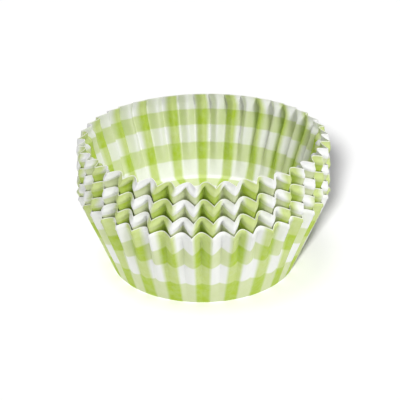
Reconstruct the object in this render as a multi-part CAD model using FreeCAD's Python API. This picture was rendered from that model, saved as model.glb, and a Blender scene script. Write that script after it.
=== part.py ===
"""A stack of pleated paper cupcake liners, each nested in the one below.

A liner is one round sheet of greaseproof paper, pressed between fluted dies: a flat round base,
and a wall that leans outwards in a ring of pleats. A pleat stands out as a ridge and falls back
to a valley, and it grows deeper towards the rim. Its flanks keep one direction in plan, as the
flutes of the dies do, so every facet of the wall is flat. Ridge and valley are cut from one
sheet, and a valley rises more steeply, so its tip stands higher at the rim.

Each liner is held in by the rim of the one below, pleat inside pleat, and from that knee its wall
stands upright to its own rim. The lowest liner has only a short upright lip.

Origin: centre of the lowest liner's underside. +Z is up, out of the mouths of the liners.
Lengths are millimetres and angles are degrees.
"""
import FreeCAD, Part
import math
import os
from collections import namedtuple

# The sheet that each liner is pressed from
sheet_diameter = 103.5
paper_thickness = 0.1

# The lowest liner, measured over its ridges
base_diameter = 52.6
rim_diameter = 70.3
knee_height = 22.0
pleat_count = 42

# How far a valley lies behind the ridges beside it, at the base, at the waist and at the rim
base_pleat_depth = 0.1
waist_pleat_depth = 1.45
rim_pleat_depth = 2.9
waist_height = 8.0

# A pleat in plan: the angle of its flanks to the radius through its ridge, and how much of
# its flat width lies on the ridge, where the rest lies in the valley
flank_angle = 28.0
ridge_share = 0.6

# The stack, where the clearance is between the flanks of two liners at the lower one's rim
liner_names = ("bottom_liner", "second_liner", "third_liner", "top_liner")
stack_step = 4.6
seat_clearance = 0.04

half_pitch = 180.0 / pleat_count

# The ring of the sheet that becomes the wall
wall_width = (sheet_diameter - base_diameter) / 2

# The pleats' outline at one height: a flat ridge and a flat valley, each as the radius it lies
# at and half its width, joined by the flanks
Outline = namedtuple("Outline", "height ridge_radius ridge_half valley_radius valley_half")


def outline(height, ridge_radius, depth):
    """The outline whose flanks have the set angle, for a ridge radius and a pleat depth."""
    lean = math.tan(math.radians(flank_angle))
    sine = math.sin(math.radians(half_pitch))
    cosine = math.cos(math.radians(half_pitch))
    valley_radius = ridge_radius - depth
    flats = valley_radius * sine - lean * (ridge_radius - valley_radius * cosine)
    valley_per_ridge = (1 - ridge_share) / ridge_share
    ridge_half = flats / (1 + (cosine - lean * sine) * valley_per_ridge)
    return Outline(height, ridge_radius, ridge_half, valley_radius, ridge_half * valley_per_ridge)


def inner_outline(outer):
    """The outline of the paper's inner face, one thickness inside its outer face."""
    ridge_turn = math.radians(90 - flank_angle)
    valley_turn = math.radians(90 - flank_angle - half_pitch)
    return Outline(
        outer.height,
        outer.ridge_radius - paper_thickness,
        outer.ridge_half - paper_thickness * math.tan(ridge_turn / 2),
        outer.valley_radius - paper_thickness,
        outer.valley_half + paper_thickness * math.tan(valley_turn / 2),
    )


def at_height(height, low, high):
    """The outline at a height on the straight folds through two others."""
    share = (height - low.height) / (high.height - low.height)
    return Outline(*(a + (b - a) * share for a, b in zip(low, high)))


def fold_length(outlines, fold):
    """Length of a fold along the paper, from the first outline to the last."""
    return sum(
        math.hypot(high.height - low.height, getattr(high, fold) - getattr(low, fold))
        for low, high in zip(outlines, outlines[1:])
    )


def tip_height(outlines, fold):
    """Height at which a fold, followed up from the base, has used up the sheet."""
    low, high = outlines[-2:]
    left = wall_width - fold_length(outlines[:-1], fold)
    return low.height + left * (high.height - low.height) / fold_length([low, high], fold)


def wall_outlines(knee, knee_radius):
    """Outlines of one liner's wall, where its folds bend, from its base up.

    The knee's height is above the liner's own base. The last outline only gives the direction
    of the top of the wall, which the sheet's edge then cuts. A sheet that is used up below
    the knee never bends there, and has no lip.
    """
    base = outline(0.0, base_diameter / 2, base_pleat_depth)
    held = outline(knee, knee_radius, rim_pleat_depth)
    waist_radius = at_height(waist_height, base, held).ridge_radius
    waist = outline(waist_height, waist_radius, waist_pleat_depth)
    outlines = [base, waist, held]
    if fold_length(outlines, "ridge_radius") < wall_width:
        outlines.append(held._replace(height=knee + stack_step))
    return outlines


def point(radius, offset, azimuth, height):
    """A point at a radius along an azimuth from -Y, moved aside at right angles to it."""
    angle = math.radians(azimuth)
    return FreeCAD.Vector(
        radius * math.sin(angle) + offset * math.cos(angle),
        offset * math.sin(angle) - radius * math.cos(angle),
        height,
    )


def pleat_corners(azimuth, ridge, valley):
    """The five corners of one pleat, from the valley before its ridge to the one after.

    The ridge's corners come from one outline and the valleys' from another, because at the
    rim the two are at different heights.
    """
    before = azimuth - half_pitch
    after = azimuth + half_pitch
    return [
        point(valley.valley_radius, valley.valley_half, before, valley.height),
        point(ridge.ridge_radius, -ridge.ridge_half, azimuth, ridge.height),
        point(ridge.ridge_radius, ridge.ridge_half, azimuth, ridge.height),
        point(valley.valley_radius, -valley.valley_half, after, valley.height),
        point(valley.valley_radius, valley.valley_half, after, valley.height),
    ]


def pleat_rows(azimuth, outlines, ridge_tip, valley_tip):
    """The corners of one pleat at each outline, the last of them moved to the sheet's edge."""
    rows = [pleat_corners(azimuth, line, line) for line in outlines[:-1]]
    ridge_end = at_height(ridge_tip, outlines[-2], outlines[-1])
    valley_end = at_height(valley_tip, outlines[-2], outlines[-1])
    rows.append(pleat_corners(azimuth, ridge_end, valley_end))
    return rows


def facet(corners):
    return Part.Face(Part.makePolygon(corners + corners[:1]))


def wall_facets(rows):
    """The flat facets of one pleat, on one face of the paper."""
    facets = []
    for lower, upper in zip(rows, rows[1:]):
        for i in range(len(lower) - 1):
            facets.append(facet([lower[i], lower[i + 1], upper[i + 1], upper[i]]))
    return facets


def edge_facets(outer, inner):
    """The cut edge of the paper at the rim, which twists a little, so it is in triangles."""
    facets = []
    for i in range(len(outer) - 1):
        facets.append(facet([outer[i], outer[i + 1], inner[i]]))
        facets.append(facet([outer[i + 1], inner[i + 1], inner[i]]))
    return facets


def liner(outlines):
    """One liner, standing on the origin, with a valley at -Y."""
    tips = tip_height(outlines, "ridge_radius"), tip_height(outlines, "valley_radius")
    floor = at_height(paper_thickness, outlines[0], outlines[1])
    inner_outlines = [inner_outline(line) for line in [floor] + outlines[1:]]

    faces = []
    outer_base = []
    inner_base = []
    for pleat in range(pleat_count):
        azimuth = (2 * pleat + 1) * half_pitch
        outer_rows = pleat_rows(azimuth, outlines, *tips)
        inner_rows = pleat_rows(azimuth, inner_outlines, *tips)
        faces += wall_facets(outer_rows)
        faces += wall_facets(inner_rows)
        faces += edge_facets(outer_rows[-1], inner_rows[-1])
        outer_base += outer_rows[0][:-1]
        inner_base += inner_rows[0][:-1]
    faces.append(facet(outer_base))
    faces.append(facet(inner_base))

    shell = Part.makeShell(faces)
    shell.sewShape()
    solid = Part.makeSolid(shell)
    if solid.Volume < 0:
        solid.reverse()
    return solid


def build_stack():
    """Each liner's name and solid, from the lowest up."""
    nest_inset = (paper_thickness + seat_clearance) / math.sin(math.radians(flank_angle))
    stack = []
    knee = knee_height
    knee_radius = rim_diameter / 2
    for place, name in enumerate(liner_names):
        outlines = wall_outlines(knee, knee_radius)
        solid = liner(outlines)
        solid.translate(FreeCAD.Vector(0, 0, place * stack_step))
        stack.append((name, solid))
        rim_height = tip_height(outlines, "ridge_radius")
        rim = at_height(rim_height, outlines[-2], outlines[-1])
        knee = rim_height - stack_step
        knee_radius = rim.ridge_radius - nest_inset
    return stack


def main():
    os.makedirs("parts", exist_ok=True)
    for name, solid in build_stack():
        solid.exportStep(f"parts/{name}.step")
        box = solid.BoundBox
        print(name, "valid", solid.isValid(), "volume", round(solid.Volume, 2),
              "rim", round(box.ZMax, 2), "width", round(box.XLength, 2))


main()
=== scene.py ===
"""Four pleated paper cupcake liners in green gingham, nested in a stack on a white floor."""
import bpy
import math
import numpy as np
from mathutils import Matrix, Vector


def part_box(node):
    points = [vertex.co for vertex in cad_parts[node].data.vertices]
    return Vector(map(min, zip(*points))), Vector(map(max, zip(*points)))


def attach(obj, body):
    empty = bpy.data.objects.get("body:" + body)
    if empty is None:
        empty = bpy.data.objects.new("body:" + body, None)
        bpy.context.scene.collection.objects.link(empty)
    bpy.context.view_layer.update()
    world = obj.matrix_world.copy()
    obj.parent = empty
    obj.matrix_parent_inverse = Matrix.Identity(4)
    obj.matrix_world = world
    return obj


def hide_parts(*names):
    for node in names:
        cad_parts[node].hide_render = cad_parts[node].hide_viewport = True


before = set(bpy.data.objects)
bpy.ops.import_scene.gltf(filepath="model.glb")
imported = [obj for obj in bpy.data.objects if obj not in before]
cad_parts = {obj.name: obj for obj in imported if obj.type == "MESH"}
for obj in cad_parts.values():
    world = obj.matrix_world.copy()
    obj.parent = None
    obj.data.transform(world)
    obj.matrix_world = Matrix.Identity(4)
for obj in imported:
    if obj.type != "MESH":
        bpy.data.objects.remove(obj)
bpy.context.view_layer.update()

# The camera
# It looks down at the stack from the front, from so near that the round mouth is seen in
# perspective. The photograph is a little tilted, and the stack stands a little off its middle.
MM = 0.001
photo_width = 400
view_elevation = math.radians(25.8)
view_distance = 260 * MM
view_roll = math.radians(-0.84)
lens_length = 82
film_width = 36
nearest_seen = 10 * MM
aim = Vector((0, 0, 15 * MM))
aim_right_of_middle = 3.7
aim_below_middle = 9.1

view_direction = Vector((0, math.cos(view_elevation), -math.sin(view_elevation)))
camera_data = bpy.data.cameras.new("camera")
camera_data.lens = lens_length
camera_data.sensor_width = film_width
camera_data.shift_x = -aim_right_of_middle / photo_width
camera_data.shift_y = aim_below_middle / photo_width
camera_data.clip_start = nearest_seen
camera = bpy.data.objects.new("camera", camera_data)
looking = view_direction.to_track_quat("-Z", "Y").to_matrix().to_4x4()
place = Matrix.Translation(aim - view_direction * view_distance)
camera.matrix_world = place @ looking @ Matrix.Rotation(view_roll, 4, "Z")
bpy.context.scene.collection.objects.link(camera)
bpy.context.scene.camera = camera
bpy.context.scene.view_settings.view_transform = "Standard"

# The floor
# A sheet of white background paper under the stack, and the same white behind it. It is smooth
# and matt, so it shows only the stack's soft shadow. It lies a hair below the lowest liner.
floor_size = 6.0
floor_drop = 0.05 * MM
floor_white = "#F4F4F4"


def linear(hex_colour):
    """An sRGB hex colour as the linear RGBA that nodes take."""
    channels = [int(hex_colour[i:i + 2], 16) / 255 for i in (1, 3, 5)]
    return [c / 12.92 if c <= 0.04045 else ((c + 0.055) / 1.055) ** 2.4 for c in channels] + [1.0]


def add(tree, kind, inputs=None, **settings):
    """Adds a node, sets it, and sets or links its inputs by name or number."""
    node = tree.nodes.new(kind)
    for name, value in settings.items():
        setattr(node, name, value)
    for name, value in (inputs or {}).items():
        if isinstance(value, bpy.types.NodeSocket):
            tree.links.new(value, node.inputs[name])
        else:
            node.inputs[name].default_value = value
    return node


def new_material(name):
    """An empty node material, and its tree."""
    material = bpy.data.materials.new(name)
    material.use_nodes = True
    material.node_tree.nodes.clear()
    return material, material.node_tree


background_paper, tree = new_material("matt_white_background_paper")
surface = add(tree, "ShaderNodeBsdfPrincipled", {
    "Base Color": linear(floor_white),
    "Roughness": 0.9,
    "Specular IOR Level": 0.1,
})
add(tree, "ShaderNodeOutputMaterial", {"Surface": surface.outputs[0]})

half = floor_size / 2
floor_mesh = bpy.data.meshes.new("floor")
floor_mesh.from_pydata(
    [(-half, -half, 0), (half, -half, 0), (half, half, 0), (-half, half, 0)], [], [(0, 1, 2, 3)]
)
floor_mesh.materials.append(background_paper)
floor = bpy.data.objects.new("floor", floor_mesh)
floor.location.z = -floor_drop
bpy.context.scene.collection.objects.link(floor)

# The light
# A soft key lamp stands high on the right and a very wide one high over the camera, and both
# light the liners alone. The floor has two lamps of its own: one near the camera, whose shadow
# shows beside the stack on the right, and a weak one overhead. White walls add a little.
fill_strength = 0.15
seen_strength = 1.0

world = bpy.data.worlds.new("white_room")
bpy.context.scene.world = world
world.use_nodes = True
world.node_tree.nodes.clear()
tree = world.node_tree
light_path = add(tree, "ShaderNodeLightPath")
seen_or_mirrored = add(tree, "ShaderNodeMath", {
    0: light_path.outputs["Is Camera Ray"],
    1: light_path.outputs["Is Glossy Ray"],
}, operation="MAXIMUM")
seen = add(tree, "ShaderNodeMath", {
    0: seen_or_mirrored.outputs[0],
    1: light_path.outputs["Is Transmission Ray"],
}, operation="MAXIMUM")
strength = add(tree, "ShaderNodeMapRange", {
    "Value": seen.outputs[0],
    "To Min": fill_strength,
    "To Max": seen_strength,
})
background = add(tree, "ShaderNodeBackground", {
    "Color": (1, 1, 1, 1),
    "Strength": strength.outputs[0],
})
add(tree, "ShaderNodeOutputWorld", {"Surface": background.outputs[0]})

liner_group = bpy.data.collections.new("liners")
floor_group = bpy.data.collections.new("floor_only")
floor_group.objects.link(floor)


def sun(name, azimuth, elevation, softness, strength, lit_group):
    """A far lamp that lights one group. Azimuth 0 is over the camera, and 90 is on the right."""
    data = bpy.data.lights.new(name, "SUN")
    data.energy = strength
    data.angle = math.radians(softness)
    lamp = bpy.data.objects.new(name, data)
    around = math.radians(azimuth)
    up = math.radians(elevation)
    towards = Vector((
        math.sin(around) * math.cos(up),
        -math.cos(around) * math.cos(up),
        math.sin(up),
    ))
    lamp.rotation_mode = "QUATERNION"
    lamp.rotation_quaternion = towards.to_track_quat("Z", "Y")
    lamp.location = towards
    lamp.light_linking.receiver_collection = lit_group
    bpy.context.scene.collection.objects.link(lamp)


sun("key_lamp", azimuth=36, elevation=60, softness=18, strength=2.05, lit_group=liner_group)
sun("fill_lamp", azimuth=-10, elevation=60, softness=150, strength=0.95, lit_group=liner_group)
sun("floor_lamp", azimuth=-12.5, elevation=25, softness=6, strength=5.3, lit_group=floor_group)
sun("floor_lamp_overhead", azimuth=-60, elevation=81, softness=22, strength=0.8, lit_group=floor_group)

# The bottom liner
# A round sheet of greaseproof paper, pressed between fluted dies, which carries the stack.
# Nothing holds its wall in, so it leans out almost to the rim, where the edge of the dies left
# a short upright lip.
sheet_radius = 51.75
base_radius = 26.3
paper_thickness = 0.1
margin = sheet_radius - base_radius

# Its paper
# Greaseproof paper of about 45 g/m2: pulp beaten so fine that the sheet is smooth, and then
# printed with one green. It is matt, with faint crinkles from the pressing. Its fibres are
# about 0.03 mm wide, and are drawn some ten times as coarse, so that they show.
paper_white = "#F3F4F3"
# A painted highlight: the paper is painted whiter over its last 0.3 mm at the cut edge, all round
# every rim
edge_highlight_white = "#FBFBF8"
highlight_band = 0.3
highlight_strength = 0.7
clouds_per_mm = 0.45
most_ink_lost = 0.16
crinkle_size = 1.4
crinkle_height = 0.25
fibre_size = 0.35
fibre_height = 0.03

# Its print
# The gingham is printed round the middle of the sheet: green columns that widen outwards,
# paler green rows in rings, and full green where the two cross. A green column is almost as
# wide as the white beside it at the front, and thinner towards the back. Its edge, blur and
# thinning are heights on a wave that runs from -1 to 1 across the columns.
column_green = "#CAD988"
row_green = "#D9E2B2"
crossing_green = "#B3CC42"
row_edge_blur = 0.4
column_edge = 0.05
column_edge_blur = 0.3
column_thinning = 0.35
widest_left_of_front = 0.136
plain_middle = 7.0
plain_middle_blur = 0.5

# A Mix node has several inputs of one name, so its two colours and its result go by number
from_colour = 6
to_colour = 7
mixed_colour = 2


def row_ramp(tree, distance, green_rows):
    """1 on the green rows and 0 between them, from the distance to the sheet's middle in mm."""
    along = add(tree, "ShaderNodeMath", {0: distance, 1: sheet_radius}, operation="DIVIDE")
    ramp = add(tree, "ShaderNodeValToRGB", {"Fac": along.outputs[0]})
    stops = ramp.color_ramp.elements
    stops[0].position = 0.0
    stops[0].color = (0, 0, 0, 1)
    stops[1].position = 1.0
    stops[1].color = (0, 0, 0, 1)
    for low, high in green_rows:
        for edge, side, level in ((low, -1, 0), (low, 1, 1), (high, -1, 1), (high, 1, 0)):
            at = (base_radius + edge + side * row_edge_blur / 2) / sheet_radius
            stops.new(at).color = (level, level, level, 1)
    return ramp.outputs["Color"]


def gingham_paper(name, columns, first_column, crowding, print_forward, green_rows):
    """Printed greaseproof paper. Its texture coordinates lie on the flat sheet.

    The first column's place is in columns from the front. Crowding sets how much narrower the
    columns are at the back than at the front. The middle of the rings lies print_forward mm in
    front of the sheet's. A row is from one distance to another, up the wall from the base's edge.
    """
    material, tree = new_material(name)
    coordinates = add(tree, "ShaderNodeTexCoord")
    centred = add(tree, "ShaderNodeVectorMath", {
        0: coordinates.outputs["UV"],
        1: (0.5, 0.5, 0),
    }, operation="SUBTRACT")
    flat = add(tree, "ShaderNodeVectorMath", {
        0: centred.outputs[0],
        "Scale": 2 * sheet_radius,
    }, operation="SCALE")
    from_print = add(tree, "ShaderNodeVectorMath", {
        0: flat.outputs[0],
        1: (0, print_forward, 0),
    }, operation="ADD")
    print_distance = add(tree, "ShaderNodeVectorMath", {0: from_print.outputs[0]}, operation="LENGTH")
    distance = add(tree, "ShaderNodeVectorMath", {0: flat.outputs[0]}, operation="LENGTH")
    axes = add(tree, "ShaderNodeSeparateXYZ", {0: flat.outputs[0]})
    forward = add(tree, "ShaderNodeMath", {0: axes.outputs["Y"], 1: -1.0}, operation="MULTIPLY")
    angle = add(tree, "ShaderNodeMath", {
        0: axes.outputs["X"],
        1: forward.outputs[0],
    }, operation="ARCTAN2")

    # Columns
    turn = add(tree, "ShaderNodeMath", {
        0: angle.outputs[0],
        1: float(columns),
        2: -2 * math.pi * first_column,
    }, operation="MULTIPLY_ADD")
    from_widest = add(tree, "ShaderNodeMath", {
        0: angle.outputs[0],
        1: widest_left_of_front,
    }, operation="ADD")
    sideways = add(tree, "ShaderNodeMath", {0: from_widest.outputs[0]}, operation="SINE")
    crowded = add(tree, "ShaderNodeMath", {
        0: sideways.outputs[0],
        1: -2 * math.pi * crowding,
        2: turn.outputs[0],
    }, operation="MULTIPLY_ADD")
    wave = add(tree, "ShaderNodeMath", {0: crowded.outputs[0]}, operation="COSINE")
    to_front = add(tree, "ShaderNodeMath", {0: angle.outputs[0]}, operation="COSINE")
    thinned = add(tree, "ShaderNodeMath", {
        0: to_front.outputs[0],
        1: column_thinning / 2,
        2: wave.outputs[0],
    }, operation="MULTIPLY_ADD")
    past_middle = add(tree, "ShaderNodeMapRange", {
        "Value": distance.outputs["Value"],
        "From Min": plain_middle,
        "From Max": plain_middle + plain_middle_blur,
    })
    column = add(tree, "ShaderNodeMapRange", {
        "Value": thinned.outputs[0],
        "From Min": column_edge + column_thinning / 2 - column_edge_blur,
        "From Max": column_edge + column_thinning / 2 + column_edge_blur,
        "To Max": past_middle.outputs[0],
    })

    # Rows, and the colours where the two meet
    row = row_ramp(tree, print_distance.outputs["Value"], green_rows)
    between_rows = add(tree, "ShaderNodeMix", {
        "Factor": column.outputs[0],
        from_colour: linear(paper_white),
        to_colour: linear(column_green),
    }, data_type="RGBA")
    on_row = add(tree, "ShaderNodeMix", {
        "Factor": column.outputs[0],
        from_colour: linear(row_green),
        to_colour: linear(crossing_green),
    }, data_type="RGBA")
    printed = add(tree, "ShaderNodeMix", {
        "Factor": row,
        from_colour: between_rows.outputs[mixed_colour],
        to_colour: on_row.outputs[mixed_colour],
    }, data_type="RGBA")

    # The ink lies unevenly on the pulp, and the colour turns whiter towards the cut edge, a painted
    # highlight along the rim
    cloudy = add(tree, "ShaderNodeTexNoise", {
        "Vector": flat.outputs[0],
        "Scale": clouds_per_mm,
        "Detail": 3.0,
        "Roughness": 0.6,
    })
    ink_lost = add(tree, "ShaderNodeMapRange", {
        "Value": cloudy.outputs["Fac"],
        "From Min": 0.35,
        "From Max": 0.75,
        "To Min": 0.0,
        "To Max": most_ink_lost,
    })
    uneven = add(tree, "ShaderNodeMix", {
        "Factor": ink_lost.outputs[0],
        from_colour: printed.outputs[mixed_colour],
        to_colour: linear(paper_white),
    }, data_type="RGBA")
    # Painted highlight: whiter colour along the cut edge of the rim
    painted_edge_highlight = add(tree, "ShaderNodeMapRange", {
        "Value": distance.outputs["Value"],
        "From Min": sheet_radius - highlight_band,
        "From Max": sheet_radius - highlight_band / 2,
        "To Min": 0.0,
        "To Max": highlight_strength,
    })
    colour = add(tree, "ShaderNodeMix", {
        "Factor": painted_edge_highlight.outputs[0],
        from_colour: uneven.outputs[mixed_colour],
        to_colour: linear(edge_highlight_white),
    }, data_type="RGBA")

    # Crinkles and fibres
    crinkle = add(tree, "ShaderNodeTexNoise", {
        "Vector": flat.outputs[0],
        "Scale": 1 / crinkle_size,
        "Detail": 2.0,
        "Roughness": 0.5,
    })
    fibre = add(tree, "ShaderNodeTexNoise", {
        "Vector": flat.outputs[0],
        "Scale": 1 / fibre_size,
        "Detail": 4.0,
        "Roughness": 0.7,
    })
    crinkled = add(tree, "ShaderNodeBump", {
        "Strength": 0.35,
        "Distance": crinkle_height * MM,
        "Height": crinkle.outputs["Fac"],
    })
    grained = add(tree, "ShaderNodeBump", {
        "Strength": 0.25,
        "Distance": fibre_height * MM,
        "Height": fibre.outputs["Fac"],
        "Normal": crinkled.outputs[0],
    })
    surface = add(tree, "ShaderNodeBsdfPrincipled", {
        "Base Color": colour.outputs[mixed_colour],
        "Roughness": 0.75,
        "Specular IOR Level": 0.25,
        "Normal": grained.outputs[0],
    })
    add(tree, "ShaderNodeOutputMaterial", {"Surface": surface.outputs[0]})
    return material


# Its folds
# The pleats start from nothing at the edge of the base and grow as the wall leans out. The paper
# keeps its length, so a fold that stands in from the others rises more steeply and ends higher.
# At each mark up the wall, a depth is how far the inner folds lie behind the outer ones.
# Sharpness is 0 where the outer folds are round and the inner ones are sharp creases, and 1
# where the outer ones end in points and the inner ones open out to round scallops, as at the rim.
marks = (0.0, 4.0, 8.0, 12.0, 15.0, 18.0, 20.5, 22.2, 23.3, 24.2, 25.45)
free_depths = (0.0, 0.25, 0.65, 1.1, 1.7, 2.4, 2.9, 2.9, 2.7, 2.3, 2.2)
free_sharpness = (0.1, 0.1, 0.1, 0.15, 0.2, 0.3, 0.35, 0.4, 0.5, 0.9, 1.0)
fold_blur = 0.7
blur_samples = 21
fine_samples = 4000

# How far the bends at the base and the knee reach to each side, how much the lip between the
# knee and the rim bulges, and how far over the knee the pleats start to twist
base_bend = 0.5
knee_bend = 1.5
lip_bulge = 0.35
twist_above_knee = 1.2

# Where the folds of the back begin and where they are complete, as cosines of the azimuth
back_starts = 0.2
back_is_full = -0.6

# The stack leans to the right as it rises, and is in its place at this height
lean = 0.0106
lean_pivot = 20.0

# How near the middles of two papers come where they touch, and how softly they meet, with the
# azimuths and the heights at which the wall below is looked up
contact_gap = 0.22
contact_softness = 0.02
contact_azimuths = 1441
contact_height = 45.0
contact_height_step = 0.25

# The pleats differ a little in depth, and their folds in azimuth
pleats = 42
steps_per_pleat = 16
shallower_by = 0.14
deeper_by = 0.06
bottom_unevenness = 0.45
bottom_settling = 0.1
chance = np.random.default_rng(7)
pleat_sizes = 1 + chance.uniform(-shallower_by, deeper_by, pleats)

# The rows of points: how far each lies up the wall from the edge of the base
base_rings = np.array([1.5, 8.0, 15.0, 20.0, 23.5, 25.2])
rows_in_base_bend = 5
rows_up_wall = 46
slants = np.concatenate([
    base_rings - base_radius,
    np.linspace(-base_bend, base_bend, rows_in_base_bend),
    np.linspace(2 * base_bend, margin, rows_up_wall),
])

# The even places round the sheet: how many pleats each lies past the first outer fold, and its
# azimuth from the front, which an inner fold faces
turn = np.arange(pleats * steps_per_pleat) / steps_per_pleat
even = (turn + 0.5) * 2 * math.pi / pleats


def eased(x):
    """0 below 0, 1 above 1, and smooth between."""
    x = np.clip(x, 0.0, 1.0)
    return x * x * (3 - 2 * x)


def smooth_through(places, values):
    """Values set at the marks up the wall, smoothed, at other places up the wall."""
    spread = np.linspace(-fold_blur, fold_blur, blur_samples)
    weights = 1 + np.cos(spread * math.pi / fold_blur)
    levels = [np.interp(places + shift, marks, values) for shift in spread]
    return np.average(levels, axis=0, weights=weights)


def slant_of(knee):
    """How far up the wall the knee lies, from its radius and its height above the base."""
    radius, height = knee
    return math.hypot(radius - base_radius, height)


def fold_paths(knee, rim, settling, depths, sharpness):
    """How the folds run, at each row up the wall.

    They are the radius and the height of the outer folds, the same of the inner folds, and
    their sharpness. Settling is how much height the outer folds lose in the lip, because they
    are crumpled.
    """
    knee_radius, knee_height = knee
    knee_slant = slant_of(knee)
    fine = np.linspace(-base_radius, margin, fine_samples)
    step = fine[1] - fine[0]
    wall_angle = math.atan2(knee_height, knee_radius - base_radius)
    lip_angle = math.acos((rim - knee_radius) / (margin - knee_slant))
    angle = wall_angle * eased((fine + base_bend) / (2 * base_bend))
    angle += (lip_angle - wall_angle) * eased((fine - knee_slant + knee_bend) / (2 * knee_bend))
    outwards = np.cos(angle)
    along_lip = np.clip((fine - knee_slant) / (margin - knee_slant), 0, 1)
    outer_radius = np.cumsum(outwards) * step + lip_bulge * np.sin(along_lip * math.pi) ** 2
    outer_height = np.cumsum(np.sin(angle)) * step - settling * eased(along_lip)
    depth = smooth_through(fine, depths)
    inner_outwards = np.clip(outwards - np.gradient(depth, fine), -1, 1)
    inner_radius = outer_radius - depth
    inner_height = np.cumsum(np.sqrt(1 - inner_outwards ** 2)) * step
    sharp = smooth_through(fine, sharpness)
    paths = (outer_radius, outer_height, inner_radius, inner_height, sharp)
    return np.array([np.interp(slants, fine, path) for path in paths])


def fold_azimuths(offset, warp, uneven):
    """Azimuth at every step round the pleats, in radians from the front.

    The offset turns the liner, the warp crowds its pleats, and each fold is nudged a little by
    itself. All three are in degrees.
    """
    fold = np.floor(turn * 2).astype(int)
    between = eased(turn * 2 - fold)
    nudge = uneven[fold] * (1 - between) + uneven[(fold + 1) % (2 * pleats)] * between
    return even + np.radians(offset + warp * np.sin(2 * even) + nudge)


def liner_surface(front_paths, back_paths, knee_slant, knee_azimuths, rim_azimuths):
    """Azimuth, radius and rise of the middle of the paper: one row for each distance up the wall.

    The back's folds come in from a little in front of the sides, by the cosine of the azimuth.
    """
    at_back = eased((back_starts - np.cos(even)) / (back_starts - back_is_full))
    paths = front_paths[:, :, None] + (back_paths - front_paths)[:, :, None] * at_back
    outer_radius, outer_height, inner_radius, inner_height, sharp = paths
    round_outside = np.abs(np.cos(turn * math.pi))
    round_inside = 1 - np.abs(np.sin(turn * math.pi))
    outer_share = round_outside + (round_inside - round_outside) * sharp
    pleat = np.floor(turn).astype(int)
    inner_share = (1 - outer_share) * pleat_sizes[pleat]
    radius = outer_radius + (inner_radius - outer_radius) * inner_share
    rise = outer_height + (inner_height - outer_height) * inner_share
    held_to = knee_slant + twist_above_knee
    twist = eased((slants - held_to) / (margin - held_to))[:, None]
    azimuth = knee_azimuths + (rim_azimuths - knee_azimuths) * twist
    return azimuth, radius, rise


def held_in(azimuth, radius, height, below):
    """The radius, made smaller where the paper would run into the liner below.

    Over the rim of the liner below it may come out again, at 45 degrees.
    """
    grid = np.linspace(-math.pi, math.pi, contact_azimuths)
    levels = np.arange(0.0, contact_height, contact_height_step)
    wall = [[np.interp(grid, row, values, period=2 * math.pi) for row, values in zip(below[0], part)]
            for part in below[1:]]
    wall_radius, wall_height = np.array(wall)
    limit = np.array([
        np.interp(levels, wall_height[:, i], wall_radius[:, i]) for i in range(len(grid))
    ])
    limit += np.maximum(levels - wall_height[-1][:, None], 0) - contact_gap

    column = ((azimuth + math.pi) % (2 * math.pi)) / (grid[1] - grid[0])
    row = height / (levels[1] - levels[0])
    left = np.minimum(column.astype(int), len(grid) - 2)
    low = row.astype(int)
    right_share = column - left
    high_share = row - low
    at_low = limit[left, low] * (1 - right_share) + limit[left + 1, low] * right_share
    at_high = limit[left, low + 1] * (1 - right_share) + limit[left + 1, low + 1] * right_share
    over = radius - at_low * (1 - high_share) - at_high * high_share
    return radius - (over + np.sqrt(over ** 2 + contact_softness)) / 2


def paper_faces(surface):
    """The under and the upper face of the paper, half its thickness each side of its middle."""
    up_wall = np.gradient(surface, axis=0)
    around = np.roll(surface, -1, axis=1) - np.roll(surface, 1, axis=1)
    normal = np.cross(around, up_wall)
    normal /= np.linalg.norm(normal, axis=2, keepdims=True)
    return surface + normal * paper_thickness / 2, surface - normal * paper_thickness / 2


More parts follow.
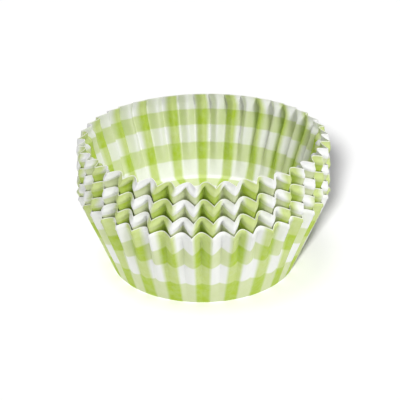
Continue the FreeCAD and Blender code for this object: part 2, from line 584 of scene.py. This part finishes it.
def press_liner(name, base, knee, rim, knee_folds, rim_folds, front, back, below):
    """Makes one liner's mesh, with each point's place on the flat sheet as its UV.

    The base is the height of its underside, the knee is a radius and a height above that, and
    the rim is a radius. Knee and rim each have the azimuths of their folds. The front and the
    back each have the settling, the depths and the sharpness of the folds there.
    It returns the liner, and its wall for the next one to be held in.
    """
    front_paths = fold_paths(knee, rim, *front)
    back_paths = fold_paths(knee, rim, *back)
    azimuth, radius, rise = liner_surface(
        front_paths, back_paths, slant_of(knee), knee_folds, rim_folds
    )
    height = base + paper_thickness / 2 + rise
    if below is not None:
        radius = held_in(azimuth, radius, height, below)
    x = radius * np.sin(azimuth) + lean * (height - lean_pivot)
    surface = np.stack([x, -radius * np.cos(azimuth), height], axis=2)
    under, upper = paper_faces(surface)

    direction = np.stack([np.sin(even), -np.cos(even)], axis=1)
    flat = (base_radius + slants)[:, None, None] * direction / (2 * sheet_radius) + 0.5
    middle_x = lean * (base - lean_pivot)
    middles = [(middle_x, 0, base), (middle_x, 0, base + paper_thickness)]
    points = np.concatenate([under.reshape(-1, 3), upper.reshape(-1, 3), middles]) * MM
    flat_points = np.concatenate([flat.reshape(-1, 2), flat.reshape(-1, 2), [(0.5, 0.5)] * 2])

    rows, steps = surface.shape[:2]
    face_size = rows * steps
    index = np.arange(face_size).reshape(rows, steps)
    following = np.roll(index, -1, axis=1)
    outside = np.stack([index[:-1], following[:-1], following[1:], index[1:]], axis=2).reshape(-1, 4)
    inside = outside[:, ::-1] + face_size
    edge = np.stack([
        index[-1],
        following[-1],
        following[-1] + face_size,
        index[-1] + face_size,
    ], axis=1)
    faces = np.concatenate([outside, inside, edge]).tolist()
    under_middle = 2 * face_size
    upper_middle = under_middle + 1
    for start, after in zip(index[0].tolist(), following[0].tolist()):
        faces.append([under_middle, after, start])
        faces.append([upper_middle, start + face_size, after + face_size])

    mesh = bpy.data.meshes.new(name)
    mesh.from_pydata(points.tolist(), [], faces)
    mesh.polygons.foreach_set("use_smooth", [True] * len(mesh.polygons))
    corner = np.zeros(len(mesh.loops), int)
    mesh.loops.foreach_get("vertex_index", corner)
    mesh.uv_layers.new(name="flat_sheet").data.foreach_set("uv", flat_points[corner].ravel())

    # The cut edge of the paper is sharp on both sides
    ends = np.zeros(2 * len(mesh.edges), int)
    mesh.edges.foreach_get("vertices", ends)
    end_at_rim = (ends % face_size >= (rows - 1) * steps) & (ends < under_middle)
    at_rim = end_at_rim.reshape(-1, 2).all(axis=1)
    under_side = ends < face_size
    same_side = under_side[0::2] == under_side[1::2]
    sharp = mesh.attributes.new("sharp_edge", "BOOLEAN", "EDGE")
    sharp.data.foreach_set("value", at_rim & same_side)

    liner = bpy.data.objects.new(name, mesh)
    bpy.context.scene.collection.objects.link(liner)
    liner_group.objects.link(liner)
    standing = slants > 0
    wall = [np.broadcast_to(part, radius.shape)[standing] for part in (azimuth, radius, height)]
    return liner, wall


def base_height(node):
    """Height of a liner's underside, in mm."""
    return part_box(node)[0].z / MM


bottom_uneven = chance.uniform(-bottom_unevenness, bottom_unevenness, 2 * pleats)
bottom_folds = fold_azimuths(offset=-1.0, warp=0.3, uneven=bottom_uneven)
bottom_liner, bottom_wall = press_liner(
    "bottom_liner_paper",
    base=base_height("bottom_liner"),
    knee=(35.0, 22.0),
    rim=35.1,
    knee_folds=bottom_folds,
    rim_folds=bottom_folds,
    front=(bottom_settling, free_depths, free_sharpness),
    back=(bottom_settling, free_depths, free_sharpness),
    below=None,
)
bottom_liner.data.materials.append(gingham_paper(
    "printed_greaseproof_paper_bottom",
    columns=23,
    first_column=0.016,
    crowding=0.0,
    print_forward=0.0,
    green_rows=[(-14.5, -7.5), (0.0, 7.5), (14.2, 19.5)],
))
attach(bottom_liner, "root")
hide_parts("bottom_liner")

# The second liner
# The same paper, pressed in the same dies and cut from another place in the print. It hangs in
# the rim of the bottom liner, pleat in pleat, which bends its wall upright there. It was turned
# a little as it was dropped in, so its rim twists against the rim below.
nested_depths = (0.0, 0.5, 1.4, 2.1, 2.6, 3.1, 3.6, 4.2, 3.5, 2.5, 2.4)
nested_sharpness = (0.8, 0.8, 0.8, 0.8, 0.8, 0.7, 0.5, 0.3, 0.0, 1.0, 1.0)
nested_settling = 0.7
taken_from_below = 0.6
own_unevenness = 0.35
nested_columns = 20
nested_crowding = 0.31
nested_rows = [(-4.4, 1.0), (6.2, 11.6), (17.0, 22.3)]


def uneven_above(uneven):
    """The nudges of a liner's folds, in part those of the liner that it lies in."""
    return taken_from_below * uneven + chance.uniform(-own_unevenness, own_unevenness, 2 * pleats)


second_uneven = uneven_above(bottom_uneven)
second_folds = fold_azimuths(offset=-0.45, warp=0.1, uneven=second_uneven)
second_liner, second_wall = press_liner(
    "second_liner_paper",
    base=base_height("second_liner"),
    knee=(34.63, 19.1),
    rim=34.9,
    knee_folds=bottom_folds,
    rim_folds=second_folds,
    front=(nested_settling, nested_depths, nested_sharpness),
    back=(nested_settling, nested_depths, nested_sharpness),
    below=bottom_wall,
)
second_liner.data.materials.append(gingham_paper(
    "printed_greaseproof_paper_second",
    columns=nested_columns,
    first_column=0.01,
    crowding=nested_crowding,
    print_forward=-0.8,
    green_rows=nested_rows,
))
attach(second_liner, "root")
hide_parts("second_liner")

# The third liner
# The same again: printed paper, held upright by the rim of the second liner and turned a
# little against it.
third_uneven = uneven_above(second_uneven)
third_folds = fold_azimuths(offset=0.05, warp=-0.15, uneven=third_uneven)
third_liner, third_wall = press_liner(
    "third_liner_paper",
    base=base_height("third_liner"),
    knee=(34.41, 19.05),
    rim=34.68,
    knee_folds=second_folds,
    rim_folds=third_folds,
    front=(nested_settling, nested_depths, nested_sharpness),
    back=(nested_settling, nested_depths, nested_sharpness),
    below=second_wall,
)
third_liner.data.materials.append(gingham_paper(
    "printed_greaseproof_paper_third",
    columns=nested_columns,
    first_column=0.1,
    crowding=nested_crowding,
    print_forward=-0.3,
    green_rows=nested_rows,
))
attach(third_liner, "root")
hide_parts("third_liner")

# The top liner
# The same paper, and the only liner whose inside shows. Its rim is free, and its pleats have
# drawn closer at the front and the back. At the back nothing crumples them, so they run
# straight up to the rim.
straight_depths = (0.0, 0.6, 1.6, 2.4, 2.8, 3.0, 3.1, 3.1, 3.0, 2.8, 2.6)
straight_sharpness = (0.8, 0.8, 0.8, 0.8, 0.8, 0.8, 0.8, 0.85, 0.9, 0.95, 1.0)
top_settling = 0.65

top_uneven = uneven_above(third_uneven)
top_folds = fold_azimuths(offset=0.8, warp=-1.4, uneven=top_uneven)
top_liner, _ = press_liner(
    "top_liner_paper",
    base=base_height("top_liner"),
    knee=(34.19, 19.0),
    rim=34.45,
    knee_folds=third_folds,
    rim_folds=top_folds,
    front=(top_settling, nested_depths, nested_sharpness),
    back=(0.0, straight_depths, straight_sharpness),
    below=third_wall,
)
top_liner.data.materials.append(gingham_paper(
    "printed_greaseproof_paper_top",
    columns=nested_columns,
    first_column=0.06,
    crowding=nested_crowding,
    print_forward=1.0,
    green_rows=[(-6.4, -1.0), (6.2, 11.6), (17.0, 21.8)],
))
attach(top_liner, "root")
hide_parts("top_liner")
